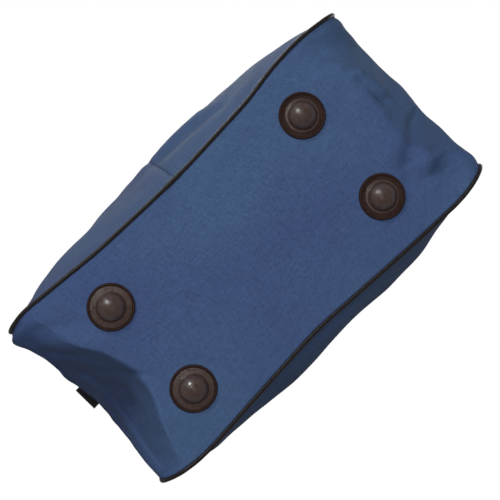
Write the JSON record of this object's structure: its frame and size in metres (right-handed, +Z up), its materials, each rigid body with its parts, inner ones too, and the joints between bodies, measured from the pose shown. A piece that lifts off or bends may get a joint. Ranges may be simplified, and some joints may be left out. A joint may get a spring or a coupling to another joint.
{
  "type": "golf shoe bag",
  "caption": "Soft zip-top shoe bag in blue woven cloth with dark piping, webbing handles and domed feet under its base.",
  "frame": {"origin": "on the ground under the middle of the bag", "axes": "+X along the bag to its right end, -Y to its front, +Z up"},
  "size_m": [0.388, 0.2234, 0.3415],
  "materials": {
    "bag_cloth": "fine plain-woven nylon, satin",
    "piping_vinyl": "smooth dark vinyl piping",
    "base_board": "stiffener board",
    "foot_plastic": "moulded dark brown plastic, semi-gloss",
    "screw_steel": "zinc plated",
    "webbing": "black woven webbing",
    "zip_tape": "woven tape",
    "zip_teeth": "moulded plastic",
    "zip_metal": "black lacquered die-cast metal"
  },
  "bodies": {
    "bag": {"back_handle_anchors": "webbing", "back_panel": "bag_cloth", "back_piping": "piping_vinyl", "base_board": "base_board", "foot_base_left_back": "foot_plastic", "foot_base_left_front": "foot_plastic", "foot_base_right_back": "foot_plastic", "foot_base_right_front": "foot_plastic", "foot_dome_left_back": "foot_plastic", "foot_dome_left_front": "foot_plastic", "foot_dome_right_back": "foot_plastic", "foot_dome_right_front": "foot_plastic", "foot_screws": "screw_steel", "foot_washers": "screw_steel", "front_handle_anchors": "webbing", "front_panel_left": "bag_cloth", "front_panel_right": "bag_cloth", "front_piping": "piping_vinyl", "gusset": "bag_cloth", "left_end_tab": "webbing", "right_end_tab": "webbing", "zip_bottom_stop": "zip_teeth", "zip_end_teeth": "zip_teeth", "zip_tape_ends": "zip_tape", "zip_top_stops": "zip_teeth"},
    "zip_slider": {"zip_slider": "zip_metal"},
    "zip_pull": {"zip_pull": "zip_metal"},
    "front_top": {"front_top_panel": "bag_cloth", "front_zip_tape": "zip_tape", "front_zip_teeth": "zip_teeth"},
    "back_top": {"back_top_panel": "bag_cloth", "back_zip_tape": "zip_tape", "back_zip_teeth": "zip_teeth"},
    "front_handle": {"front_handle": "webbing"},
    "back_handle": {"back_handle": "webbing"}
  },
  "joints": [
    {"name": "slider_travel", "type": "slide", "parent": "bag", "child": "zip_slider", "axis": [1, 0, 0], "range_m": [0, 0.2486], "deforming": ["front_zip_teeth", "back_zip_teeth"]},
    {"name": "pull_hinge", "type": "hinge", "parent": "zip_slider", "child": "zip_pull", "pos_m": [-0.1243, 0, 0.23005], "axis": [0, -1, 0], "range_deg": [0, 165]},
    {"name": "front_top_hinge", "type": "hinge", "parent": "bag", "child": "front_top", "pos_m": [0, -0.0719, 0.22245], "axis": [1, 0, 0], "range_deg": [0, 70]},
    {"name": "back_top_hinge", "type": "hinge", "parent": "bag", "child": "back_top", "pos_m": [0, 0.0719, 0.22245], "axis": [-1, 0, 0], "range_deg": [0, 70]},
    {"name": "front_handle_hinge", "type": "hinge", "parent": "bag", "child": "front_handle", "pos_m": [0, -0.07915, 0.2278], "axis": [1, 0, 0], "range_deg": [-30, 135]},
    {"name": "back_handle_hinge", "type": "hinge", "parent": "bag", "child": "back_handle", "pos_m": [0, 0.07915, 0.2278], "axis": [-1, 0, 0], "range_deg": [-30, 135]}
  ]
}
